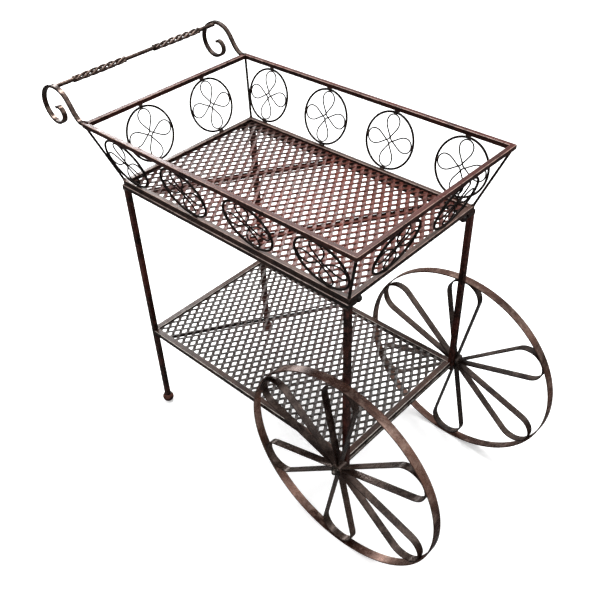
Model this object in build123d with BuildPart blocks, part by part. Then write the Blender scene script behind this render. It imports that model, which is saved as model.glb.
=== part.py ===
from build123d import *
import math
import os

os.makedirs("parts", exist_ok=True)

# Two-wheeled wrought-iron plant trolley: a flared tray basket on a leg frame,
# a mesh shelf, two flower-spoke wheels on a fixed axle at the front and a
# scroll-ended push handle at the back.
#
# Millimetres, +X towards the wheels (front), +Y to the left of a person
# pushing, +Z up.  Origin on the floor under the middle of the overall box.

SIDES = (("left", 1), ("right", -1))
ENDS = (("front", 1), ("rear", -1))

# ------------------------------------------------------------ main dimensions
# Widths and heights ending in _OUT or _IN are distances from the XZ plane.
TRAY_X = -23.7                   # tray centre; legs, axle and handle are placed from it
EDGE_R = 1.2                     # softened bar edges

# Basket: lengths and widths are those of the frame centrelines
BAR = 10.0                       # square bar of the rim and tray base
RIM_L, RIM_W, RIM_TOP = 702.0, 450.0, 796.0
BASE_L, BASE_W, BASE_TOP = 608.0, 370.0, 666.0
RIM_Z = RIM_TOP - BAR
BASE_Z = BASE_TOP - BAR
DROP = RIM_TOP - BASE_TOP
LEAN_X = (RIM_L - BASE_L) / 2
LEAN_Y = (RIM_W - BASE_W) / 2

# Leg frame
LEG_RAIL_OUT, LEG_RAIL_W, LEG_RAIL_H = 194.0, 24.0, 10.0
LEG_RAIL_IN = LEG_RAIL_OUT - LEG_RAIL_W
LEG_TOP = BASE_Z - LEG_RAIL_H
LEG_SIDE = 12.0                  # square leg bar
LEG_X, LEG_Y = 304.0, 187.0      # leg centres, X from the tray centre
LEG_IN = LEG_Y - LEG_SIDE / 2
FRONT_LEG_LOW = 226.0
FOOT_D, FOOT_TOP = 28.0, 24.0
FOOT_CUT = 0.6                   # sliver taken off the ball by the floor

# Shelf: front and rear faces are measured from the tray centre
SHELF_TOP, SHELF_END_H, SHELF_SIDE_H, SHELF_BAR = 249.0, 8.0, 13.0, 14.0
SHELF_FRONT, SHELF_REAR = 304.5, 312.5
SHELF_OUT = LEG_Y + LEG_SIDE / 2
SHELF_IN = SHELF_OUT - SHELF_BAR
SHELF_Z = SHELF_TOP - SHELF_END_H
SHELF_X_LOW = TRAY_X - (SHELF_REAR - SHELF_BAR)      # inner faces of the ends
SHELF_X_HIGH = TRAY_X + (SHELF_FRONT - SHELF_BAR)

# Knobs and studs under the tray base
KNOB_D, KNOB_Y = 16.0, 161.0
KNOB_DROP = 7.2                  # ball centre below the tray base
STUD_D = 5.0
STUD_DEPTH = 6.0                 # run of a stud into the rail, and into the knob

# Axle
AXLE_D, AXLE_END = 8.0, 225.0
WHEEL_R = 236.5
AXLE_X, AXLE_Z = TRAY_X + LEG_X, WHEEL_R


def finish(builder, name):
    """Label one finished piece and write its own file."""
    builder.part.label = name
    export_step(builder.part, f"parts/{name}.step")


def plain_bar(name, centre, plan, z_low, height, long_axis):
    """Rectangular bar with the edges along its length softened."""
    with BuildPart() as bar:
        with BuildSketch(Plane.XY.offset(z_low)):
            with Locations(centre):
                Rectangle(*plan)
        extrude(amount=height)
        fillet(bar.edges().filter_by(long_axis), EDGE_R)
    finish(bar, name)


# ------------------------------------------------------- rim and tray base
def mitred_rail(name, length, width, z_low, side=0, end=0, drilled=False):
    """One mitred bar of a frame with this centreline; side or end is its sign."""
    out_x, out_y = length / 2 + BAR / 2, width / 2 + BAR / 2
    in_x, in_y = length / 2 - BAR / 2, width / 2 - BAR / 2
    if side:
        corners = [
            (-out_x, side * out_y), (out_x, side * out_y),
            (in_x, side * in_y), (-in_x, side * in_y),
        ]
    else:
        corners = [
            (end * out_x, -out_y), (end * out_x, out_y),
            (end * in_x, in_y), (end * in_x, -in_y),
        ]
    with BuildPart() as rail:
        with BuildSketch(Plane.XY.offset(z_low)):
            with Locations((TRAY_X, 0)):
                Polygon(*corners, align=None)
        extrude(amount=BAR)
        fillet(rail.edges().filter_by(Axis.X if side else Axis.Y), EDGE_R)
        if drilled:
            # Blind holes from below for the knob studs.
            hole_x = TRAY_X + end * length / 2
            with BuildSketch(Plane.XY.offset(z_low)):
                with Locations((hole_x, KNOB_Y), (hole_x, -KNOB_Y)):
                    Circle(STUD_D / 2)
            extrude(amount=STUD_DEPTH, mode=Mode.SUBTRACT)
    finish(rail, name)


for word, sign in SIDES:
    mitred_rail(f"rim_rail_{word}", RIM_L, RIM_W, RIM_Z, side=sign)
    mitred_rail(f"tray_base_rail_{word}", BASE_L, BASE_W, BASE_Z, side=sign)
for word, sign in ENDS:
    mitred_rail(f"rim_rail_{word}", RIM_L, RIM_W, RIM_Z, end=sign)
    mitred_rail(f"tray_base_rail_{word}", BASE_L, BASE_W, BASE_Z, end=sign, drilled=True)

# ------------------------------------------------------------ corner posts
POST_D = 5.5
POST_OUT = 3.0                   # posts stand outside the frame centrelines

with BuildPart() as corner_posts:
    for sign_x in (1, -1):
        for sign_y in (1, -1):
            post_foot = Vector(
                TRAY_X + sign_x * (BASE_L / 2 + POST_OUT),
                sign_y * (BASE_W / 2 + POST_OUT),
                BASE_TOP,
            )
            rise = RIM_Z - BASE_TOP
            lean = Vector(sign_x * LEAN_X * rise / DROP, sign_y * LEAN_Y * rise / DROP, rise)
            with BuildSketch(Plane(origin=post_foot)):
                Circle(POST_D / 2)
            extrude(amount=lean.length, dir=lean.normalized())
finish(corner_posts, "corner_posts")

# ------------------------------------------------------- expanded-metal decks
MESH_T = 2.5
MESH_BORDER = 1.5                # least plain margin round the openings
STRAND = 4.6                     # width of metal between openings
TRAY_MESH_LIFT = 1.0             # mesh underside above the underside of the base rails
# Diamond width along X, length along Y, and where one opening's centre lies
# from the deck's own centre.
TRAY_LATTICE = (20.15, 31.2, 5.0, 0.0)
SHELF_LATTICE = (19.5, 31.35, 2.0, -1.75)
STEPS_X, STEPS_Y = 40, 30        # half-pitches tried each way, past the deck edges


def deck_face(x_low, x_high, half_y, lattice):
    """Flat rectangular sheet with whole diamond openings only."""
    pitch_x, pitch_y, offset_x, offset_y = lattice
    outline = Wire.make_polygon(
        [(x_low, -half_y), (x_high, -half_y), (x_high, half_y), (x_low, half_y)], close=True
    )
    diamond_side = math.hypot(pitch_x / 2, pitch_y / 2)
    strand_pitch = (pitch_x * pitch_y / 2) / diamond_side
    shrink = 1 - STRAND / strand_pitch
    hole_x, hole_y = (pitch_x / 2) * shrink, (pitch_y / 2) * shrink
    centre_x = (x_low + x_high) / 2 + offset_x
    holes = []
    for i in range(-STEPS_X, STEPS_X + 1):
        for j in range(-STEPS_Y, STEPS_Y + 1):
            if (i + j) % 2:
                continue
            x, y = centre_x + i * pitch_x / 2, offset_y + j * pitch_y / 2
            if not (x_low + MESH_BORDER + hole_x <= x <= x_high - MESH_BORDER - hole_x):
                continue
            if not (-half_y + MESH_BORDER + hole_y <= y <= half_y - MESH_BORDER - hole_y):
                continue
            holes.append(
                Wire.make_polygon(
                    [(x + hole_x, y), (x, y + hole_y), (x - hole_x, y), (x, y - hole_y)],
                    close=True,
                )
            )
    return Face(outline, holes)


def deck_mesh(name, sheet, z_low):
    with BuildPart() as mesh:
        with BuildSketch(Plane.XY.offset(z_low)):
            add(sheet)
        extrude(amount=MESH_T)
    finish(mesh, name)


tray_in_x, tray_in_y = BASE_L / 2 - BAR / 2, BASE_W / 2 - BAR / 2
tray_sheet = deck_face(TRAY_X - tray_in_x, TRAY_X + tray_in_x, tray_in_y, TRAY_LATTICE)
deck_mesh("tray_mesh", tray_sheet, BASE_Z + TRAY_MESH_LIFT)

# The shelf mesh lies on the shelf crossbars.
SHELF_BRACE_T = 2.5
shelf_sheet = deck_face(SHELF_X_LOW, SHELF_X_HIGH, SHELF_IN, SHELF_LATTICE)
deck_mesh("shelf_mesh", shelf_sheet, SHELF_Z + SHELF_BRACE_T)

# ------------------------------------------------------------ slanted crossbars
# Two bars lie below each deck.  They slant about in line with its strands and
# end against the side rails.
CROSSBAR_X = 141.0               # from the tray centre, on the middle line
CROSSBAR_RUN = 0.64              # run along X per unit of Y
LEG_BRACE_W, SHELF_BRACE_W = 6.5, 6.0


def slanted_bars(name, half_y, width, z_low, thick):
    half_x = width / 2 * math.hypot(1, CROSSBAR_RUN)
    run = CROSSBAR_RUN * half_y
    with BuildPart() as bars:
        with BuildSketch(Plane.XY.offset(z_low)):
            for x in (TRAY_X - CROSSBAR_X, TRAY_X + CROSSBAR_X):
                with Locations((x, 0)):
                    Polygon(
                        (-half_x - run, -half_y),
                        (half_x - run, -half_y),
                        (half_x + run, half_y),
                        (-half_x + run, half_y),
                        align=None,
                    )
        extrude(amount=thick)
    finish(bars, name)


slanted_bars("leg_frame_crossbars", LEG_RAIL_IN, LEG_BRACE_W, LEG_TOP, LEG_RAIL_H)
slanted_bars("shelf_crossbars", SHELF_IN, SHELF_BRACE_W, SHELF_Z, SHELF_BRACE_T)

# ------------------------------------------------------ rings and wire flowers
RING_R, RING_WIRE = 58.2, 4.8    # centreline radius, wire diameter
RING_PITCH_SIDE, RING_PITCH_END = 174.0, 177.0
FLOWER_WIRE, FLOWER_GAP = 3.0, 0.1
LOBE_R, LOBE_SIDE_R, BEND_R = 15.3, 27.4, 6.0
LOBE_SIDE_TURN = math.radians(33)

# The flower wire loops round four lobes, each just inside the ring.  It
# crosses itself on the axis of each lobe and leaves a small square eye at the
# centre.  One strand runs from the tip of the +X lobe to the tip of the +Y
# lobe, and its second half mirrors its first, so x and y swap.
REACH = RING_R - RING_WIRE / 2 - FLOWER_WIRE / 2 - FLOWER_GAP
LOBE_X = REACH - LOBE_R


def lobe_side_point(turn):
    """Point on the shallow arc that leads from a lobe towards the eye."""
    return (
        LOBE_X - LOBE_SIDE_R * math.sin(turn),
        -LOBE_R + LOBE_SIDE_R * (1 - math.cos(turn)),
    )


round_run = LOBE_R * math.sin(math.pi / 4)
side_mid = lobe_side_point(LOBE_SIDE_TURN / 2)
side_end = lobe_side_point(LOBE_SIDE_TURN)
eye = side_end[0] - math.cos(LOBE_SIDE_TURN) * (side_end[0] - side_end[1]) / (
    math.cos(LOBE_SIDE_TURN) + math.sin(LOBE_SIDE_TURN)
)
with BuildPart() as strand:
    with BuildLine() as strand_path:
        ThreePointArc((REACH, 0), (LOBE_X + round_run, -round_run), (LOBE_X, -LOBE_R))
        ThreePointArc((LOBE_X, -LOBE_R), side_mid, side_end)
        FilletPolyline(side_end, (eye, eye), side_end[::-1], radius=BEND_R)
        ThreePointArc(side_end[::-1], side_mid[::-1], (-LOBE_R, LOBE_X))
        ThreePointArc((-LOBE_R, LOBE_X), (-round_run, LOBE_X + round_run), (0, REACH))
    with BuildSketch(Plane(origin=(REACH, 0, 0), z_dir=(0, -1, 0))):
        Circle(FLOWER_WIRE / 2)
    sweep(path=strand_path.wire())
with BuildPart() as flower:
    with PolarLocations(0, 4):
        add(strand.part)


def side_planes(sign):
    """Planes of the four ornaments in one leaning side of the basket."""
    y, z = sign * (RIM_W + BASE_W) / 4, (RIM_Z + BASE_TOP) / 2
    return [
        Plane(
            origin=(TRAY_X + n * RING_PITCH_SIDE, y, z),
            x_dir=(1, 0, 0),
            z_dir=(0, sign * DROP, -LEAN_Y),
        )
        for n in (-1.5, -0.5, 0.5, 1.5)
    ]


def end_planes(sign):
    """Planes of the two ornaments in one leaning end of the basket."""
    x, z = TRAY_X + sign * (RIM_L + BASE_L) / 4, (RIM_Z + BASE_TOP) / 2
    return [
        Plane(
            origin=(x, n * RING_PITCH_END, z),
            x_dir=(0, 1, 0),
            z_dir=(sign * DROP, 0, -LEAN_X),
        )
        for n in (-0.5, 0.5)
    ]


def ornaments(word, planes):
    with BuildPart() as rings:
        for panel in planes:
            with Locations(panel.location):
                Torus(RING_R, RING_WIRE / 2)
    finish(rings, f"rings_{word}")
    with BuildPart() as flowers:
        for panel in planes:
            with Locations(panel.location):
                add(flower.part)
    finish(flowers, f"flowers_{word}")


for word, sign in SIDES:
    ornaments(word, side_planes(sign))
for word, sign in ENDS:
    ornaments(word, end_planes(sign))

# -------------------------------------------------------------- handle scrolls
SCROLL_Y = RIM_W / 2             # the scrolls rise from the rim's side rails
SCROLL_W, SCROLL_T = 9.0, 6.0    # strip width along Y, and thickness
SCROLL_STEPS = 60

# Scroll centreline from the rim to the curled end: X from the tray centre, Z.
SCROLL_LINE = [
    (-359.5, 791.5), (-373.0, 796.0), (-384.0, 806.5), (-396.0, 824.5), (-412.5, 842.0),
    (-436.0, 849.0), (-459.0, 845.5), (-479.0, 831.5), (-490.0, 809.5), (-484.0, 784.5),
    (-461.0, 768.5), (-436.0, 773.0), (-423.5, 789.5), (-431.0, 803.5), (-446.5, 803.0),
]
with BuildLine() as scroll_centre:
    Spline(*SCROLL_LINE)

# Faces of the strip, to the left and right of travel along the centreline.
left_face, right_face = [], []
for k in range(SCROLL_STEPS + 1):
    spot = scroll_centre.line @ (k / SCROLL_STEPS)
    run = (scroll_centre.line % (k / SCROLL_STEPS)).normalized()
    left_face.append((spot.X - run.Y * SCROLL_T / 2, spot.Y + run.X * SCROLL_T / 2))
    right_face.append((spot.X + run.Y * SCROLL_T / 2, spot.Y - run.X * SCROLL_T / 2))


def handle_scroll(word, sign):
    scroll_plane = Plane(
        origin=(TRAY_X, sign * SCROLL_Y + SCROLL_W / 2, 0), x_dir=(1, 0, 0), z_dir=(0, -1, 0)
    )
    with BuildPart() as scroll:
        with BuildSketch(scroll_plane):
            with BuildLine():
                Spline(*left_face)
                Spline(*right_face)
                Line(left_face[0], right_face[0])
                Line(left_face[-1], right_face[-1])
            make_face()
        extrude(amount=SCROLL_W)
    finish(scroll, f"handle_scroll_{word}")


for word, sign in SIDES:
    handle_scroll(word, sign)

# ------------------------------------------------ handle rod, collars and grips
HANDLE_X, HANDLE_Z, HANDLE_D = -447.0, 844.5, 9.0    # X from the tray centre
COLLAR_D, COLLAR_L, COLLAR_EDGE_R = 14.0, 4.0, 1.2
GRIP_IN, GRIP_OUT = 43.0, 170.0
GRIP_L = GRIP_OUT - GRIP_IN
rod_plane = Plane(origin=(TRAY_X + HANDLE_X, 0, HANDLE_Z), x_dir=(1, 0, 0), z_dir=(0, 1, 0))


def handle_rod(word, y_low, length):
    with BuildPart() as rod:
        with BuildSketch(rod_plane.offset(y_low)):
            Circle(HANDLE_D / 2)
        extrude(amount=length)
    finish(rod, f"handle_rod_{word}")


rod_in, rod_out = GRIP_OUT + COLLAR_L, SCROLL_Y - SCROLL_W / 2
centre_half = GRIP_IN - COLLAR_L
handle_rod("left", rod_in, rod_out - rod_in)
handle_rod("right", -rod_out, rod_out - rod_in)
handle_rod("centre", -centre_half, 2 * centre_half)

with BuildPart() as collars:
    for y_low in (GRIP_OUT, GRIP_IN - COLLAR_L, -GRIP_IN, -GRIP_OUT - COLLAR_L):
        with BuildSketch(rod_plane.offset(y_low)):
            Circle(COLLAR_D / 2)
        extrude(amount=COLLAR_L)
    fillet(collars.edges().filter_by(GeomType.CIRCLE), COLLAR_EDGE_R)
finish(collars, "handle_collars")

# Four wires twisted round an open core, about one and a half turns per grip;
# the cage swells towards the middle of the grip.
TWIST_WIRES, TWIST_WIRE_D = 4, 5.2
TWIST_R, TWIST_SWELL = 4.3, 0.8
TWIST_STEPS = 36                 # stations along the grip
TURN_STEPS = 37                  # stations over which the twist and swell run
TWIST_TURNS = 1.5


def handle_twist(word, y_low):
    with BuildPart() as twist:
        for k in range(TWIST_WIRES):
            # The wires overrun the grip by a station at each end, and are cut flush.
            stations = []
            for n in range(-1, TWIST_STEPS + 2):
                angle = 2 * math.pi * (k / TWIST_WIRES + TWIST_TURNS * n / TURN_STEPS)
                radius = TWIST_R + TWIST_SWELL * math.sin(math.pi * n / TURN_STEPS)
                stations.append(
                    (
                        rod_plane.origin.X + radius * math.cos(angle),
                        y_low + GRIP_L * n / TWIST_STEPS,
                        rod_plane.origin.Z + radius * math.sin(angle),
                    )
                )
            with BuildLine() as coil_path:
                Spline(*stations)
            with BuildSketch(Plane(origin=coil_path.line @ 0, z_dir=coil_path.line % 0)):
                Circle(TWIST_WIRE_D / 2)
            sweep(path=coil_path.line)
        split(bisect_by=Plane(origin=(0, y_low, 0), z_dir=(0, 1, 0)), keep=Keep.TOP)
        split(bisect_by=Plane(origin=(0, y_low + GRIP_L, 0), z_dir=(0, 1, 0)), keep=Keep.BOTTOM)
    finish(twist, f"handle_twist_{word}")


handle_twist("left", GRIP_IN)
handle_twist("right", -GRIP_OUT)

# ------------------------------------------------------- leg frame and feet
AXLE_DRILL = 20.0                # depth of the cut, centred on the leg


def front_leg(word, sign):
    """Leg that stops just below the axle and is drilled for it."""
    with BuildPart() as leg:
        with BuildSketch(Plane.XY.offset(FRONT_LEG_LOW)):
            with Locations((TRAY_X + LEG_X, sign * LEG_Y)):
                Rectangle(LEG_SIDE, LEG_SIDE)
        extrude(amount=LEG_TOP - FRONT_LEG_LOW)
        fillet(leg.edges().filter_by(Axis.Z), EDGE_R)
        drill_start = (AXLE_X, sign * LEG_Y + AXLE_DRILL / 2, AXLE_Z)
        with BuildSketch(Plane(origin=drill_start, z_dir=(0, -1, 0))):
            Circle(AXLE_D / 2)
        extrude(amount=AXLE_DRILL, mode=Mode.SUBTRACT)
    finish(leg, f"leg_front_{word}")


def foot_ball(word, sign):
    """Ball under a rear leg, cut flat at the floor and at the leg."""
    with BuildPart() as ball:
        with Locations((TRAY_X - LEG_X, sign * LEG_Y, FOOT_D / 2 - FOOT_CUT)):
            Sphere(FOOT_D / 2)
        split(bisect_by=Plane.XY, keep=Keep.TOP)
        split(bisect_by=Plane.XY.offset(FOOT_TOP), keep=Keep.BOTTOM)
    finish(ball, f"foot_ball_{word}")


for word, sign in SIDES:
    plain_bar(
        f"leg_frame_rail_{word}",
        centre=(TRAY_X, sign * (LEG_RAIL_OUT - LEG_RAIL_W / 2)),
        plan=(2 * LEG_X + LEG_SIDE, LEG_RAIL_W),
        z_low=LEG_TOP,
        height=LEG_RAIL_H,
        long_axis=Axis.X,
    )
    plain_bar(
        f"leg_rear_{word}",
        centre=(TRAY_X - LEG_X, sign * LEG_Y),
        plan=(LEG_SIDE, LEG_SIDE),
        z_low=FOOT_TOP,
        height=LEG_TOP - FOOT_TOP,
        long_axis=Axis.Z,
    )
    front_leg(word, sign)
    foot_ball(word, sign)

# -------------------------------------------------------------------- shelf
for word, sign in SIDES:
    plain_bar(
        f"shelf_rail_{word}",
        centre=(TRAY_X, sign * (SHELF_OUT - SHELF_BAR / 2)),
        plan=(2 * (LEG_X - LEG_SIDE / 2), SHELF_BAR),
        z_low=SHELF_TOP - SHELF_SIDE_H,
        height=SHELF_SIDE_H,
        long_axis=Axis.X,
    )

# The front bar fits between the side rails, the rear one between the legs.
for word, x_low, x_high, half_y in (
    ("front", SHELF_X_HIGH, TRAY_X + SHELF_FRONT, SHELF_IN),
    ("rear", TRAY_X - SHELF_REAR, SHELF_X_LOW, LEG_IN),
):
    plain_bar(
        f"shelf_rail_{word}",
        centre=((x_low + x_high) / 2, 0),
        plan=(x_high - x_low, 2 * half_y),
        z_low=SHELF_Z,
        height=SHELF_END_H,
        long_axis=Axis.Y,
    )

# --------------------------------------------------------- tray fixing knobs
with BuildPart() as knobs:
    for sign_x in (1, -1):
        for sign_y in (1, -1):
            with Locations((TRAY_X + sign_x * BASE_L / 2, sign_y * KNOB_Y, BASE_Z - KNOB_DROP)):
                Sphere(KNOB_D / 2)
    split(bisect_by=Plane.XY.offset(BASE_Z), keep=Keep.BOTTOM)
    with BuildSketch(Plane.XY.offset(BASE_Z - STUD_DEPTH)):
        with GridLocations(BASE_L, 2 * KNOB_Y, 2, 2):
            with Locations((TRAY_X, 0)):
                Circle(STUD_D / 2)
    extrude(amount=STUD_DEPTH, mode=Mode.SUBTRACT)
finish(knobs, "tray_knobs")

with BuildPart() as studs:
    with BuildSketch(Plane.XY.offset(BASE_Z - STUD_DEPTH)):
        with GridLocations(BASE_L, 2 * KNOB_Y, 2, 2):
            with Locations((TRAY_X, 0)):
                Circle(STUD_D / 2)
    extrude(amount=2 * STUD_DEPTH)
finish(studs, "tray_studs")

# --------------------------------------------------- axle, washers and cap nuts
WHEEL_Y = 206.7
HUB_D, HUB_L = 26.0, 23.0
HUB_IN, HUB_OUT = WHEEL_Y - HUB_L / 2, WHEEL_Y + HUB_L / 2
WASHER_T, WASHER_D = 1.5, 20.0
WASHER_CLEAR = 0.1               # radial, on the axle
WASHER_GAP = 0.4                 # between hub and washer
NUT_GAP = 0.05                   # between washer and nut
NUT_FLAT_R, NUT_H = 6.5, 4.5     # centre to flat, height of the hexagon
DOME_R, DOME_H, DOME_TAPER = 5.4, 3.6, 24
BORE_SPARE = 0.3                 # nut bore past the end of the axle
NUT_IN = HUB_OUT + WASHER_GAP + WASHER_T + NUT_GAP

axle_plane = Plane(origin=(AXLE_X, 0, AXLE_Z), x_dir=(1, 0, 0), z_dir=(0, -1, 0))
with BuildPart() as axle:
    with BuildSketch(axle_plane.offset(-AXLE_END)):
        Circle(AXLE_D / 2)
    extrude(amount=2 * AXLE_END)
finish(axle, "axle")

with BuildPart() as washers:
    for start in (HUB_IN - WASHER_GAP - WASHER_T, HUB_OUT + WASHER_GAP):
        for sign in (1, -1):
            with BuildSketch(axle_plane.offset(min(sign * start, sign * (start + WASHER_T)))):
                Circle(WASHER_D / 2)
                Circle(AXLE_D / 2 + WASHER_CLEAR, mode=Mode.SUBTRACT)
            extrude(amount=WASHER_T)
finish(washers, "axle_washers")

with BuildPart() as cap_nuts:
    for sign in (1, -1):
        nut_plane = Plane(
            origin=(AXLE_X, sign * NUT_IN, AXLE_Z), x_dir=(1, 0, 0), z_dir=(0, sign, 0)
        )
        with BuildSketch(nut_plane):
            RegularPolygon(NUT_FLAT_R, 6, major_radius=False)
        extrude(amount=NUT_H)
        with BuildSketch(nut_plane.offset(NUT_H)):
            Circle(DOME_R)
        extrude(amount=DOME_H, taper=DOME_TAPER)
        with BuildSketch(nut_plane):
            Circle(AXLE_D / 2)
        extrude(amount=AXLE_END - NUT_IN + BORE_SPARE, mode=Mode.SUBTRACT)
finish(cap_nuts, "axle_cap_nuts")

# -------------------------------------------------------------------- wheels
TYRE_W, TYRE_T, TYRE_CHAMFER = 20.0, 3.0, 0.6        # flat band of the wheel rim
HUB_CHAMFER = 1.0
RUN_CLEAR = 0.05                 # radial running clearance of the hubs
PETALS, PETAL_W, PETAL_T = 6, 16.0, 2.5
PETAL_CENTRE = 194.0             # wheel centre to the centre of a petal's round end
PETAL_START = 7.0                # where the outer outline starts, inside the hub
PETAL_RIM_GAP, PETAL_HUB_GAP = 0.1, 0.02
PETAL_R = WHEEL_R - TYRE_T - PETAL_RIM_GAP - PETAL_T / 2 - PETAL_CENTRE
SPLAY = math.asin(PETAL_R / PETAL_CENTRE)            # leg angle off the petal axis


def petal_leg_point(run, grow):
    """Point this far along the upper leg, moved outwards by grow."""
    return (
        run * math.cos(SPLAY) - grow * math.sin(SPLAY),
        run * math.sin(SPLAY) + grow * math.cos(SPLAY),
    )


def petal_round_end(grow):
    """Start, middle and end of the arc that joins the two straight legs."""
    x, y = petal_leg_point(PETAL_CENTRE * math.cos(SPLAY), grow)
    return (x, y), (PETAL_CENTRE + PETAL_R + grow, 0), (x, -y)


def wheel_rim(word, wheel_plane):
    with BuildPart() as rim:
        with BuildSketch(wheel_plane.offset(-TYRE_W / 2)):
            Circle(WHEEL_R)
            Circle(WHEEL_R - TYRE_T, mode=Mode.SUBTRACT)
        extrude(amount=TYRE_W)
        chamfer(rim.edges().filter_by(GeomType.CIRCLE), TYRE_CHAMFER)
    finish(rim, f"wheel_rim_{word}")


def wheel_petals(word, wheel_plane):
    """Teardrop loops of strip, trimmed round the hub."""
    start = petal_leg_point(PETAL_START, PETAL_T / 2)
    start_below = (start[0], -start[1])
    apex = (PETAL_T / 2 / math.sin(SPLAY), 0)
    with BuildPart() as petals:
        with BuildSketch(wheel_plane.offset(-PETAL_W / 2)):
            with PolarLocations(0, PETALS, start_angle=30):
                with BuildSketch(mode=Mode.PRIVATE) as one_petal:
                    top, tip, bottom = petal_round_end(PETAL_T / 2)
                    with BuildLine():
                        Line(start, top)
                        ThreePointArc(top, tip, bottom)
                        Line(bottom, start_below)
                        Line(start_below, start)
                    make_face()
                    top, tip, bottom = petal_round_end(-PETAL_T / 2)
                    with BuildLine():
                        Line(apex, top)
                        ThreePointArc(top, tip, bottom)
                        Line(bottom, apex)
                    make_face(mode=Mode.SUBTRACT)
                add(one_petal.sketch)
            Circle(HUB_D / 2 + PETAL_HUB_GAP, mode=Mode.SUBTRACT)
        extrude(amount=PETAL_W)
    finish(petals, f"wheel_petals_{word}")


def wheel_hub(word, wheel_plane):
    with BuildPart() as hub:
        with BuildSketch(wheel_plane.offset(-HUB_L / 2)):
            Circle(HUB_D / 2)
            Circle(AXLE_D / 2 + RUN_CLEAR, mode=Mode.SUBTRACT)
        extrude(amount=HUB_L)
        outer_edges = hub.edges().filter_by(GeomType.CIRCLE).group_by(SortBy.RADIUS)[-1]
        chamfer(outer_edges, HUB_CHAMFER)
    finish(hub, f"wheel_hub_{word}")


for word, sign in SIDES:
    middle = Plane(origin=(AXLE_X, sign * WHEEL_Y, AXLE_Z), x_dir=(1, 0, 0), z_dir=(0, -1, 0))
    wheel_rim(word, middle)
    wheel_petals(word, middle)
    wheel_hub(word, middle)
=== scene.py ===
"""A two-wheeled tray cart in hand-rubbed bronze, in metres with +Z up.

It stands on z = 0 with its length along X and is mirrored about y = 0. The left
side is at +Y. The wheels are near the +X end, the scroll feet at the -X end.
The CAD pieces give the frame; expanded-metal decks and weld beads are added.
"""
import math
import random
from collections import namedtuple

import bpy
from mathutils import Matrix, Vector, noise


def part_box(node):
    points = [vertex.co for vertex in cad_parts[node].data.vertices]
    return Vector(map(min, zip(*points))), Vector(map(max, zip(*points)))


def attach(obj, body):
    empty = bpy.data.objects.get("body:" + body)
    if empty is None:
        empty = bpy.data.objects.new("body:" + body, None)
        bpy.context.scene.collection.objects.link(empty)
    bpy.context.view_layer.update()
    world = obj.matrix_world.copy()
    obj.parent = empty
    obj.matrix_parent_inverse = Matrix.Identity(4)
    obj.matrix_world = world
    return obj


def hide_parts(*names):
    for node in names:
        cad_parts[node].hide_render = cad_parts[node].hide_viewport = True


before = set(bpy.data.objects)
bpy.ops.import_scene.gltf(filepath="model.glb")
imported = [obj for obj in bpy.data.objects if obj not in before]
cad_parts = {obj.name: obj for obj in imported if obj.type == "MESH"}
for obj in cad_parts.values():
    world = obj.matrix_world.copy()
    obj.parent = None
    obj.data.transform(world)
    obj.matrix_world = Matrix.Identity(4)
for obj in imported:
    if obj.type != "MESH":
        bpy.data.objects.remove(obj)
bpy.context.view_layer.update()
rng = random.Random(7)

rail_low, rail_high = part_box("rim_rail_left")
TRAY_X = (rail_low.x + rail_high.x) / 2      # middle of the tray along X


# ------------------------------------------------------------- shader helpers
class Nodes:
    """Short ways to add nodes to one shader tree."""

    def __init__(self, tree):
        self.tree = tree

    def feed(self, node, values):
        """Link or set inputs from {input: output socket or plain value}."""
        for key, value in values.items():
            if isinstance(value, bpy.types.NodeSocket):
                self.tree.links.new(value, node.inputs[key])
            else:
                node.inputs[key].default_value = value

    def new(self, kind, values=None, **settings):
        node = self.tree.nodes.new("ShaderNode" + kind)
        for key, value in settings.items():
            setattr(node, key, value)
        self.feed(node, values or {})
        return node

    def noise(self, place, scale, detail=4.0, rough=0.55, distortion=0.0):
        return self.new("TexNoise", {"Vector": place, "Scale": scale, "Detail": detail,
                                     "Roughness": rough, "Distortion": distortion}).outputs["Fac"]

    def remap(self, value, span, to=(0.0, 1.0), smooth=True):
        """Map the range `span` of a value onto the range `to`."""
        return self.new("MapRange", {"Value": value, "From Min": span[0], "From Max": span[1],
                                     "To Min": to[0], "To Max": to[1]},
                        interpolation_type="SMOOTHSTEP" if smooth else "LINEAR"
                        ).outputs["Result"]

    def math(self, operation, *values):
        return self.new("Math", dict(enumerate(values)), operation=operation).outputs["Value"]

    def times(self, a, b):
        return self.math("MULTIPLY", a, b)

    def plus(self, a, b):
        return self.math("ADD", a, b)

    def mix(self, amount, first, second):
        """Blend two colours; each is an RGB tuple or an output."""
        first, second = (c + (1,) if isinstance(c, tuple) else c for c in (first, second))
        return self.new("Mix", {0: amount, 6: first, 7: second}, data_type="RGBA",
                        blend_type="MIX").outputs[2]

    def split(self, vector):
        return self.new("SeparateXYZ", {"Vector": vector}).outputs

    def bump(self, height, strength, distance):
        return self.new("Bump", {"Height": height, "Strength": strength,
                                 "Distance": distance}).outputs["Normal"]


def new_material(name):
    """A material with its nodes, its Principled shader and its coordinates."""
    material = bpy.data.materials.new(name)
    material.use_nodes = True
    nodes = Nodes(material.node_tree)
    nodes.tree.nodes.clear()
    output = nodes.new("OutputMaterial")
    shader = nodes.new("BsdfPrincipled")
    nodes.feed(output, {"Surface": shader.outputs["BSDF"]})
    return material, nodes, shader, nodes.new("TexCoord").outputs


def srgb(*channels):
    """Linear RGB from 0-255 sRGB."""
    def linear(c):
        c /= 255
        return c / 12.92 if c <= 0.04045 else ((c + 0.055) / 1.055) ** 2.4
    return tuple(linear(c) for c in channels)


# ------------------------------------------------------------------ materials
STREAK_COLOUR = (0.002, 0.0015, 0.0013)
# Noise scale per axis: low along the brushed bar, high across it
BRUSHING = {"x": (9, 500, 500), "y": (500, 9, 500), "z": (500, 500, 9), None: (260, 260, 260)}


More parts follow.
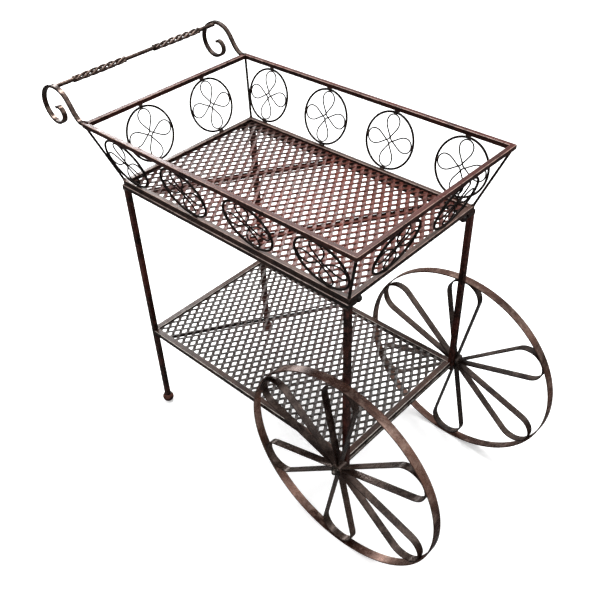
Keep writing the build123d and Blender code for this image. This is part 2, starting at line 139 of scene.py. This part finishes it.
def bronze(name, dark, mid, rub, along=None, top=0.0, top_col=None, edge=0.0, edge_col=None,
           patch=0.5, rough=(0.26, 0.5), metal=0.0, streak=0.6, bump=0.25, patch_scale=9.0,
           spec=0.25, spot=70.0, side=0.0):
    """Hand-rubbed bronze paint.

    dark, mid: cloudy ground colours; rub, patch: rub-through colour and amount
    along: axis of the brushing; streak: amount of dark streaks
    top, edge, side: amount of painted top light on upward faces, of rub-through
    wear plus a painted highlight on rounded edges, and of painted shade on faces that look along
    Y
    patch_scale, spot: noise scales of the clouds and the blotches
    """
    material, nodes, shader, coords = new_material(name)
    plain = coords["Object"]
    brushed = nodes.new("Mapping", {"Vector": plain, "Scale": BRUSHING[along]}).outputs["Vector"]
    cloud = nodes.noise(plain, scale=patch_scale, detail=5.0, rough=0.6, distortion=0.6)
    blotch = nodes.noise(plain, scale=spot, detail=4.0, rough=0.65, distortion=0.3)
    streaks = nodes.noise(brushed, scale=1.0, detail=3.0, rough=0.6)
    grit = nodes.noise(plain, scale=800.0, detail=2.0, rough=0.6)

    # Cloudy ground with rub-through
    colour = nodes.mix(nodes.remap(cloud, span=(0.38, 0.66)), dark, mid)
    worn = nodes.times(nodes.remap(blotch, span=(0.45, 0.75)), patch)
    worn = nodes.times(worn, nodes.remap(streaks, span=(0.3, 0.7), to=(0.35, 1.0)))
    colour = nodes.mix(worn, colour, rub)
    if top or edge or side:
        normal = nodes.split(coords["Normal"])
    if top:
        # Painted top light: upward faces are blended to a lighter reddish tone, as if lit from
        # above
        top_light_mask = nodes.times(nodes.remap(normal["Z"], span=(0.35, 0.9)),
                            nodes.remap(cloud, span=(0.30, 0.62), to=(0.5, 1.0)))
        top_light_mask = nodes.times(top_light_mask, top)
        copper = nodes.mix(nodes.remap(streaks, span=(0.35, 0.7)),
                           tuple(c * 0.6 for c in top_col),
                           tuple(min(1, c * 1.3) for c in top_col))
        colour = nodes.mix(top_light_mask, colour, copper)
    if streak:
        lines = nodes.times(nodes.remap(streaks, span=(0.62, 0.36)), 0.55 * streak)
        colour = nodes.mix(lines, colour, STREAK_COLOUR)
    if edge:
        # Where no axis dominates the normal, the surface is a rounded edge; it gets rub-through
        # wear plus a painted highlight, brighter on upward-facing edges
        x, y, z = (nodes.math("ABSOLUTE", normal[axis]) for axis in "XYZ")
        biggest = nodes.math("MAXIMUM", nodes.math("MAXIMUM", x, y), z)
        rounded = nodes.remap(biggest, span=(0.98, 0.84))
        rounded = nodes.times(rounded, nodes.remap(blotch, span=(0.32, 0.62), to=(0.3, 1.0)))
        rounded = nodes.times(rounded,
                              nodes.remap(normal["Z"], span=(-0.2, 0.5), to=(0.15, 1.0)))
        colour = nodes.mix(nodes.times(rounded, edge), colour, edge_col)
    if side:
        # Painted shade: faces that look along Y are darkened towards the dark ground colour
        side_shade = nodes.remap(nodes.math("ABSOLUTE", normal["Y"]), span=(0.5, 0.9))
        colour = nodes.mix(nodes.times(side_shade, side), colour, dark)

    gloss = nodes.plus(nodes.remap(blotch, span=(0.3, 0.7), to=rough, smooth=False),
                       nodes.remap(grit, span=(0.3, 0.7), to=(-0.04, 0.06), smooth=False))
    height = nodes.plus(nodes.times(streaks, 0.6), nodes.times(grit, 0.35))
    height = nodes.plus(height, nodes.times(blotch, 1.0))
    nodes.feed(shader, {
        "Base Color": colour, "Roughness": gloss, "Metallic": metal,
        "Specular IOR Level": spec, "Coat Weight": 0.0, "Coat Roughness": 0.15,
        "Normal": nodes.bump(height, strength=bump, distance=0.0006)})
    return material


def rail_bronze(name, **look):
    """The same bronze brushed along X and along Y."""
    return {axis: bronze(f"{name}_{axis}", along=axis, **look) for axis in "xy"}


def deck_material(name, warm, grey, dark, centre, radius, amount):
    """Paint on the tilted strands: upward faces are warmer around `centre`
    and greyer away from it; the steep sides are painted dark as shade."""
    material, nodes, shader, coords = new_material(name)
    plain = coords["Object"]
    cloud = nodes.noise(plain, scale=5.5, detail=4.0, rough=0.6, distortion=0.8)
    spots = nodes.noise(plain, scale=120.0, detail=4.0, rough=0.7, distortion=0.4)
    fine = nodes.noise(plain, scale=900.0, detail=3.0, rough=0.6)
    distance = nodes.new("VectorMath", {0: plain, 1: centre}, operation="DISTANCE")
    zone = nodes.remap(distance.outputs["Value"], span=(radius * 1.5, radius * 0.3))
    warmth = nodes.times(zone, nodes.remap(cloud, span=(0.30, 0.62), to=(0.5, 1.0)))
    face = nodes.mix(nodes.times(warmth, amount), grey, warm)
    face = nodes.mix(nodes.remap(spots, span=(0.36, 0.6), to=(0.75, 0.0)), face, dark)
    # Painted shade: the steep sides of the strands take the dark colour, the upward faces the
    # face colour
    upward = nodes.remap(nodes.split(coords["Normal"])["Z"], span=(0.45, 0.85))
    nodes.feed(shader, {
        "Base Color": nodes.mix(upward, dark, face),
        "Roughness": nodes.remap(spots, span=(0.3, 0.7), to=(0.24, 0.46), smooth=False),
        "Specular IOR Level": 0.3,
        "Normal": nodes.bump(nodes.plus(nodes.times(spots, 1.5), fine),
                             strength=0.3, distance=0.0004)})
    return material


# top, edge and side paint light into the colour: top light on upward faces, a highlight with
# rub-through wear on rounded edges, shade on Y-facing sides
RIM = rail_bronze("rim_copper", dark=srgb(24, 8, 6), mid=srgb(44, 20, 15), rub=srgb(86, 44, 34),
                  top=0.95, top_col=srgb(80, 33, 25), edge=0.8, edge_col=srgb(216, 182, 168),
                  rough=(0.2, 0.4), spec=0.32)
BASE = rail_bronze("tray_bronze", dark=srgb(20, 10, 8), mid=srgb(42, 25, 20),
                   rub=srgb(84, 60, 50), top=0.8, top_col=srgb(88, 62, 52),
                   edge=0.8, edge_col=srgb(206, 178, 166), rough=(0.22, 0.42), spec=0.35)
LEG_RAIL = bronze("leg_rail_bronze", dark=srgb(16, 8, 6), mid=srgb(36, 23, 18),
                  rub=srgb(66, 46, 38), along="x", top=0.3, top_col=srgb(84, 62, 54),
                  edge=0.85, edge_col=srgb(214, 188, 178), rough=(0.22, 0.42), spec=0.35)
LEG = bronze("leg_bronze", dark=srgb(18, 6, 4), mid=srgb(60, 24, 17), rub=srgb(96, 48, 37),
             along="z", edge=0.4, edge_col=srgb(124, 78, 66), patch=0.6, rough=(0.2, 0.36))
SHELF = rail_bronze("shelf_bronze", dark=srgb(14, 9, 7), mid=srgb(46, 30, 24),
                    rub=srgb(90, 66, 56), top=0.7, top_col=srgb(84, 58, 48),
                    edge=0.95, edge_col=srgb(236, 226, 216), rough=(0.22, 0.42))
WIRE = bronze("wire_bronze", dark=srgb(12, 8, 7), mid=srgb(26, 19, 17), rub=srgb(66, 54, 48),
              patch=0.4, rough=(0.4, 0.6), streak=0.3, patch_scale=14.0, spec=0.06)
HANDLE = bronze("handle_bronze", dark=srgb(34, 20, 16), mid=srgb(74, 58, 50),
                rub=srgb(132, 112, 102), edge=0.2, edge_col=srgb(150, 130, 118),
                rough=(0.14, 0.28), metal=0.7, streak=0.3, spec=0.4)
# side: painted shade on the wheel faces that look along Y
WHEEL = bronze("wheel_bronze", dark=srgb(52, 28, 20), mid=srgb(126, 90, 76),
               rub=srgb(190, 164, 150), edge=0.15, edge_col=srgb(160, 140, 128), patch=0.55,
               rough=(0.2, 0.36), metal=0.55, streak=0.4, patch_scale=4.0, side=0.8,
               spec=0.5, spot=34.0)
PETAL = bronze("petal_bronze", dark=srgb(34, 21, 17), mid=srgb(74, 57, 49),
               rub=srgb(130, 110, 99), edge=0.15, edge_col=srgb(150, 132, 122),
               rough=(0.2, 0.36), metal=0.5, streak=0.4, patch_scale=5.0, side=0.8,
               spec=0.5, spot=40.0)
KNOB = bronze("knob_dark", dark=srgb(12, 9, 8), mid=srgb(26, 18, 16), rub=srgb(60, 46, 42),
              patch=0.3)
STEEL = bronze("axle_steel", dark=srgb(44, 38, 34), mid=srgb(78, 70, 64),
               rub=srgb(140, 132, 124), along="y", edge=0.2, edge_col=srgb(214, 208, 200),
               rough=(0.2, 0.38), metal=0.85, streak=0.3)
WELD = bronze("weld_bronze", dark=srgb(22, 12, 9), mid=srgb(54, 36, 29), rub=srgb(110, 84, 70),
              patch=0.8, rough=(0.25, 0.5), streak=0.2, bump=0.7, patch_scale=30.0, spec=0.4)
TRAY_DECK = deck_material("tray_deck_copper", warm=srgb(104, 44, 31), grey=srgb(58, 40, 35),
                          dark=srgb(12, 6, 5), centre=(TRAY_X + 0.08, 0.0, 0.658),
                          radius=0.33, amount=0.95)
# On the shelf deck the warm patch around `centre` is a painted reflection
SHELF_DECK = deck_material("shelf_deck_bronze", warm=srgb(78, 40, 34), grey=srgb(56, 47, 43),
                           dark=srgb(14, 10, 9), centre=(TRAY_X - 0.05, 0.09, 0.245),
                           radius=0.22, amount=0.55)


# -------------------------------------------------------------- mesh helpers
def add_object(name, data):
    obj = bpy.data.objects.new(name, data)
    bpy.context.scene.collection.objects.link(obj)
    return obj


def mesh_object(name, verts, faces, material, body, smooth=True):
    mesh = bpy.data.meshes.new(name)
    mesh.from_pydata([tuple(v) for v in verts], [], faces)
    mesh.validate(clean_customdata=False)
    mesh.update()
    obj = add_object(name, mesh)
    mesh.materials.append(material)
    for polygon in mesh.polygons:
        polygon.use_smooth = smooth
    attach(obj, body)
    return obj


# ------------------------------------------------------- expanded-metal decks
STRIP_THICK = 0.0022
STRIP_CHAMFER = 0.28 * STRIP_THICK
DECK_LIFT = 0.0003       # strip centres above the middle of the CAD deck
BOND_HALF = 0.0012       # half length of the straight run at each bond
BOND_OVERLAP = 0.0002    # taken off each zigzag swing


def strip_section(width, tilt):
    """Chamfered rectangle of a strip as (x, z) offsets, tilted by `tilt` degrees."""
    half_w, half_t, cut = width / 2, STRIP_THICK / 2, STRIP_CHAMFER
    cos, sin = math.cos(math.radians(tilt)), math.sin(math.radians(tilt))
    outline = ((-half_w + cut, -half_t), (half_w - cut, -half_t),
               (half_w, -half_t + cut), (half_w, half_t - cut),
               (half_w - cut, half_t), (-half_w + cut, half_t),
               (-half_w, half_t - cut), (-half_w, -half_t + cut))
    return [(u * cos - w * sin, u * sin + w * cos) for u, w in outline]


def clip_path(path, y_min, y_max):
    """Cut a path that runs along +Y to the deck's two ends."""
    points = []
    for (xa, ya), (xb, yb) in zip(path[:-1], path[1:]):
        if yb < y_min or ya > y_max:
            continue
        if ya < y_min:
            points.append((xa + (xb - xa) * ((y_min - ya) / (yb - ya)), y_min))
        else:
            points.append((xa, ya))
        if yb >= y_max:
            points.append((xa + (xb - xa) * ((y_max - ya) / (yb - ya)), y_max))
            break
    return points


def expanded_deck(name, node, tilt, width, pitch_x, pitch_y, shift_x, shift_y, material):
    """Zigzag strips across the deck, each tilted and meeting the next at its
    bonds. One closed strip per row."""
    low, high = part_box(node)
    centre_x = (low.x + high.x) / 2 + shift_x
    centre_y = (low.y + high.y) / 2 + shift_y
    centre_z = (low.z + high.z) / 2 + DECK_LIFT
    section = strip_section(width, tilt)
    sides = len(section)
    margin = pitch_x * 0.2
    swing = pitch_x / 4 - BOND_OVERLAP
    rows = int((high.x - low.x) / (pitch_x / 2)) + 2
    bonds = 2 * (int((high.y - low.y) / pitch_y) + 2)
    verts, faces = [], []
    for row in range(-rows, rows + 1):
        row_x = centre_x + (row + 0.5) * pitch_x / 2
        if not (low.x - margin < row_x < high.x + margin):
            continue
        path = []
        for bond in range(-bonds, bonds + 1):
            y = centre_y + bond * pitch_y / 2
            x = row_x + (swing if (row + bond) % 2 == 0 else -swing)
            path += [(x, y - BOND_HALF), (x, y + BOND_HALF)]
        points = clip_path(path, low.y, high.y)
        start = len(verts)
        for x, y in points:
            # Slight unevenness sideways and in height
            sway = 0.00018 * noise.noise(Vector((x * 60, y * 60, centre_z)))
            rise = 0.00025 * noise.noise(Vector((x * 14, y * 14, 3.1 + centre_z)))
            for u, w in section:
                verts.append((min(max(x + u + sway, low.x), high.x), y, centre_z + w + rise))
        for k in range(len(points) - 1):
            a = start + k * sides
            b = a + sides
            for q in range(sides):
                after = (q + 1) % sides
                faces.append((a + q, a + after, b + after, b + q))
        last = start + (len(points) - 1) * sides
        faces.append(tuple(start + q for q in reversed(range(sides))))
        faces.append(tuple(last + q for q in range(sides)))
    deck = mesh_object(name, verts, faces, material, "frame", smooth=False)
    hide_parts(node)


expanded_deck("tray_expanded_metal", "tray_mesh", tilt=13, width=0.0110, pitch_x=0.02015,
              pitch_y=0.0312, shift_x=0.005, shift_y=0.0,
              material=TRAY_DECK)
expanded_deck("shelf_expanded_metal", "shelf_mesh", tilt=15, width=0.0096, pitch_x=0.0195,
              pitch_y=0.03135, shift_x=0.002, shift_y=-0.00175,
              material=SHELF_DECK)

# ----------------------------------------------------------------- weld beads
Bead = namedtuple("Bead", "centre axis half_length radius")
BANDS, SEGMENTS = 7, 12      # divisions of a bead along and around its axis
X_AXIS, Y_AXIS, Z_AXIS = Vector((1, 0, 0)), Vector((0, 1, 0)), Vector((0, 0, 1))


def weld_beads(name, beads, body):
    """One mesh of lumpy ellipsoids; a bead's place in the list seeds its lumps."""
    verts, faces = [], []
    for k, bead in enumerate(beads):
        turn = Z_AXIS.rotation_difference(Vector(bead.axis).normalized())
        seed = Vector((k * 3.7, k * 1.3, 5.1))

        def point(theta, phi):
            d = Vector((math.sin(theta) * math.cos(phi), math.sin(theta) * math.sin(phi),
                        math.cos(theta)))
            lump = 1 + 0.28 * noise.noise(d * 1.6 + seed) + 0.12 * noise.noise(d * 4.0 + seed)
            local = Vector((d.x * bead.radius * lump, d.y * bead.radius * lump,
                            d.z * bead.half_length * lump))
            return turn @ local + bead.centre

        start = len(verts)
        verts.append(point(0.0, 0.0))
        for i in range(1, BANDS):
            for j in range(SEGMENTS):
                verts.append(point(math.pi * i / BANDS, 2 * math.pi * j / SEGMENTS))
        verts.append(point(math.pi, 0.0))
        end = len(verts) - 1
        for j in range(SEGMENTS):
            after = (j + 1) % SEGMENTS
            faces.append((start, start + 1 + j, start + 1 + after))
            faces.append((end, end - 1 - j, end - 1 - after))
        for i in range(BANDS - 2):
            for j in range(SEGMENTS):
                a = start + 1 + i * SEGMENTS + j
                b = start + 1 + i * SEGMENTS + (j + 1) % SEGMENTS
                faces.append((a, a + SEGMENTS, b + SEGMENTS, b))
    mesh_object(name, verts, faces, WELD, body)


# Rings and flowers stand in the leaning panels between tray base and rim
FLOWER_Z = 0.726
SIDE_Y, SIDE_PITCH, SIDE_RING = 0.205, 0.174, 0.0612    # four on each long side
END_X, END_PITCH, END_RING = 0.3275, 0.177, 0.0618      # two on each end
PANEL_RISE, SIDE_RUN, END_RUN = 130, 40, 47             # slope: rise against outward run
PETAL_ROOT, PETAL_TIP = 0.0074, 0.0550                  # from the flower's centre
# Corner welds, measured from the tray's middle
CORNER_X, CORNER_Y = 0.307, 0.188
BASE_Z, RIM_Z = 0.667, 0.7855
RIM_OUT_X, RIM_OUT_Y = 0.0434, 0.0369                   # rim corner beyond base corner

ring_beads, petal_beads, joint_beads = [], [], []


def flower_welds(centre, up, along, outward, ring_radius):
    """Beads above and below one ring, and at both ends of its flower's petals."""
    slip = rng.uniform(-0.004, 0.004)
    for sign in (1, -1):
        ring_beads.append(Bead(centre + up * (sign * ring_radius) + along * (sign * slip), along,
                               half_length=rng.uniform(0.0055, 0.0085), radius=0.0028))
    for petal, across in ((up, up.cross(outward)), (-up, (-up).cross(outward)),
                          (along, Z_AXIS), (-along, Z_AXIS)):
        petal_beads.append(Bead(centre + petal * PETAL_ROOT, petal,
                                half_length=rng.uniform(0.0020, 0.0028), radius=0.0017))
        petal_beads.append(Bead(centre + petal * PETAL_TIP, across,
                                half_length=rng.uniform(0.0030, 0.0048), radius=0.0019))


def corner_welds(sx, sy):
    """Beads of one corner: tray base, rim, leg top (two) and shelf."""
    for x, y, z in ((CORNER_X, CORNER_Y, BASE_Z),
                    (CORNER_X + RIM_OUT_X, CORNER_Y + RIM_OUT_Y, RIM_Z)):
        joint_beads.append(Bead(Vector((TRAY_X + sx * x, sy * y, z)), (sx, sy, 0.3),
                                half_length=rng.uniform(0.0036, 0.0046), radius=0.0034))
    # x, y, z, axis, half length, radius
    for x, y, z, axis, half_length, radius in (
            (0.2975, 0.187, 0.6455, (0, 1, 0), 0.0062, 0.0026),
            (0.304, 0.1935, 0.6455, (1, 0, 0), 0.0058, 0.0022),
            (0.2985, 0.1925, 0.2425, (0.1, 0, 1), 0.0052, 0.0026)):
        joint_beads.append(Bead(Vector((TRAY_X + sx * x, sy * y, z)), axis, half_length, radius))


for s in (1, -1):
    side_up = Vector((0, s * SIDE_RUN, PANEL_RISE)).normalized()
    end_up = Vector((s * END_RUN, 0, PANEL_RISE)).normalized()
    for n in (-1.5, -0.5, 0.5, 1.5):
        flower_welds(Vector((TRAY_X + n * SIDE_PITCH, s * SIDE_Y, FLOWER_Z)),
                     side_up, X_AXIS, Y_AXIS, SIDE_RING)
    for n in (-0.5, 0.5):
        flower_welds(Vector((TRAY_X + s * END_X, n * END_PITCH, FLOWER_Z)),
                     end_up, Y_AXIS, X_AXIS, END_RING)
    for sx in (1, -1):
        corner_welds(sx, s)
    # Scroll foot on the rim corner
    joint_beads.append(Bead(Vector((TRAY_X - 0.352, s * 0.2215, 0.7965)), (1, 0, 0),
                            half_length=0.0080, radius=0.0026))
weld_beads("ring_weld_beads", ring_beads, "frame")
weld_beads("flower_weld_beads", petal_beads, "frame")
weld_beads("frame_weld_beads", joint_beads, "frame")

WHEEL_X, WHEEL_Y, WHEEL_Z = 0.304, 0.2067, 0.2365
RIM_WELD_RADIUS, HUB_WELD_RADIUS = 0.2328, 0.0145
RIM_WELD_OUT, RIM_WELD_IN = 0.0045, 0.0050     # either side of the wheel's mid-plane
PETALS, FIRST_PETAL, HUB_SPREAD = 6, 30, 11.4  # count, and angles in degrees


def wheel_direction(degrees):
    angle = math.radians(degrees)
    return Vector((math.cos(angle), 0, math.sin(angle)))


def wheel_welds(word, s):
    """Beads near the rim and around the hub, at each petal of one wheel."""
    centre = Vector((TRAY_X + WHEEL_X, s * WHEEL_Y, WHEEL_Z))
    beads = []
    for k in range(PETALS):
        degrees = FIRST_PETAL + 360 // PETALS * k
        spoke = wheel_direction(degrees)
        for y in (s * RIM_WELD_OUT, -s * RIM_WELD_IN):
            beads.append(Bead(centre + spoke * RIM_WELD_RADIUS + Vector((0, y, 0)),
                              spoke.cross(Y_AXIS),
                              half_length=rng.uniform(0.006, 0.009), radius=0.0026))
        for side in (-1, 1):
            spoke = wheel_direction(degrees + side * HUB_SPREAD)
            slip = Vector((0, rng.uniform(-0.004, 0.004), 0))
            beads.append(Bead(centre + spoke * HUB_WELD_RADIUS + slip, Y_AXIS,
                              half_length=rng.uniform(0.004, 0.0065), radius=0.0024))
    weld_beads("wheel_weld_beads_" + word, beads, "wheel_" + word)


wheel_welds("left", 1)
wheel_welds("right", -1)

# ------------------------------------------------- materials of the CAD nodes
# Material, and the starts of the node names that take it; the first match wins
NODE_MATERIALS = (
    (RIM["x"], ("rim_rail_left", "rim_rail_right")),
    (RIM["y"], ("rim_rail_front", "rim_rail_rear")),
    (BASE["x"], ("tray_base_rail_left", "tray_base_rail_right")),
    (BASE["y"], ("tray_base_rail_front", "tray_base_rail_rear")),
    (LEG_RAIL, ("leg_frame_rail_left", "leg_frame_rail_right")),
    (SHELF["x"], ("shelf_rail_left", "shelf_rail_right")),
    (SHELF["y"], ("shelf_rail_front", "shelf_rail_rear")),
    (TRAY_DECK, ("tray_mesh",)),
    (SHELF_DECK, ("shelf_mesh",)),
    (STEEL, ("axle", "tray_studs")),
    (KNOB, ("tray_knobs", "shelf_crossbars")),
    (WIRE, ("rings", "flowers", "corner")),
    (HANDLE, ("handle",)),
    (LEG, ("leg_", "foot")),
    (WHEEL, ("wheel_rim",)),
    (PETAL, ("wheel_petals", "wheel_hub")),
)
for node_name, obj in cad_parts.items():
    matches = [material for material, starts in NODE_MATERIALS if node_name.startswith(starts)]
    if not matches:
        raise SystemExit("no material for " + node_name)
    obj.data.materials.clear()
    obj.data.materials.append(matches[0])


# ------------------------------------------------------------------ the stage
def build_floor(half_size):
    """White paper floor, left out of reflections."""
    h = half_size
    mesh = bpy.data.meshes.new("studio_floor")
    mesh.from_pydata([(-h, -h, 0), (h, -h, 0), (h, h, 0), (-h, h, 0)], [], [(0, 1, 2, 3)])
    floor = add_object("studio_floor", mesh)
    material, nodes, shader, coords = new_material("studio_paper")
    mottle = nodes.noise(coords["Object"], scale=3.0, detail=2.0)
    nodes.feed(shader, {
        "Base Color": nodes.mix(mottle, (0.93, 0.93, 0.93), (0.96, 0.96, 0.96)),
        "Roughness": 0.9, "Specular IOR Level": 0.1,
        "Emission Color": (1, 1, 1, 1), "Emission Strength": 0.35})
    mesh.materials.append(material)
    floor.visible_glossy = False


def build_world():
    """White sky, dim at the horizon and bright overhead."""
    world = bpy.data.worlds.new("studio")
    bpy.context.scene.world = world
    world.use_nodes = True
    nodes = Nodes(world.node_tree)
    height = nodes.split(nodes.new("TexCoord").outputs["Generated"])["Z"]
    strength = nodes.remap(height, span=(0.05, 0.9), to=(0.10, 1.15), smooth=False)
    nodes.feed(nodes.tree.nodes["Background"], {"Strength": strength, "Color": (1, 1, 1, 1)})


def softbox(name, at, aim, size, power):
    """Rectangular light; `at` and `aim` have x from the tray's middle."""
    light = bpy.data.lights.new(name, "AREA")
    light.shape = "RECTANGLE"
    light.size, light.size_y = size
    light.energy = power
    obj = add_object(name, light)
    at, aim = (Vector((TRAY_X + x, y, z)) for x, y, z in (at, aim))
    obj.location = at
    obj.rotation_euler = (aim - at).to_track_quat("-Z", "Y").to_euler()


def build_camera():
    data = bpy.data.cameras.new("camera")
    data.sensor_width = 36.0
    data.lens = 46.62
    data.shift_x = 0.0216833
    data.shift_y = 0.01745
    camera = add_object("camera", data)
    x, y, z = TRAY_X + 0.9497, -0.9747, 1.4897
    forward = Vector((-0.5447, 0.5413, -0.6405)).normalized()
    up = Vector((-0.4166, 0.4882, 0.7669))
    up = (up - forward * up.dot(forward)).normalized()
    right = forward.cross(up)
    camera.matrix_world = Matrix((
        (right.x, up.x, -forward.x, x),
        (right.y, up.y, -forward.y, y),
        (right.z, up.z, -forward.z, z),
        (0, 0, 0, 1)))
    bpy.context.scene.camera = camera


build_floor(half_size=14.0)
build_world()
softbox("key_top", at=(-0.9, 0.6, 3.0), aim=(0, 0, 0.5), size=(1.1, 0.5), power=60)
softbox("key_left", at=(-1.6, -1.8, 2.8), aim=(0, 0, 0.5), size=(0.5, 1.4), power=34)
softbox("key_back", at=(-2.5, 1.25, 2.0), aim=(-0.1, 0, 0.75), size=(0.6, 0.5), power=22)
softbox("low_back_left", at=(-3.2, 1.5, 0.75), aim=(0.2, -0.1, 0.4), size=(0.9, 0.9), power=18)
softbox("key_sky", at=(-1.0, 1.1, 2.0), aim=(0.1, -0.1, 0.5), size=(0.9, 0.5), power=4)
softbox("key_front", at=(1.9, 0.5, 2.6), aim=(0, 0, 0.4), size=(0.5, 1.4), power=26)

view = bpy.context.scene.view_settings
view.view_transform = "Standard"
view.look = "None"
view.exposure = 0.0
view.gamma = 1.0
build_camera()
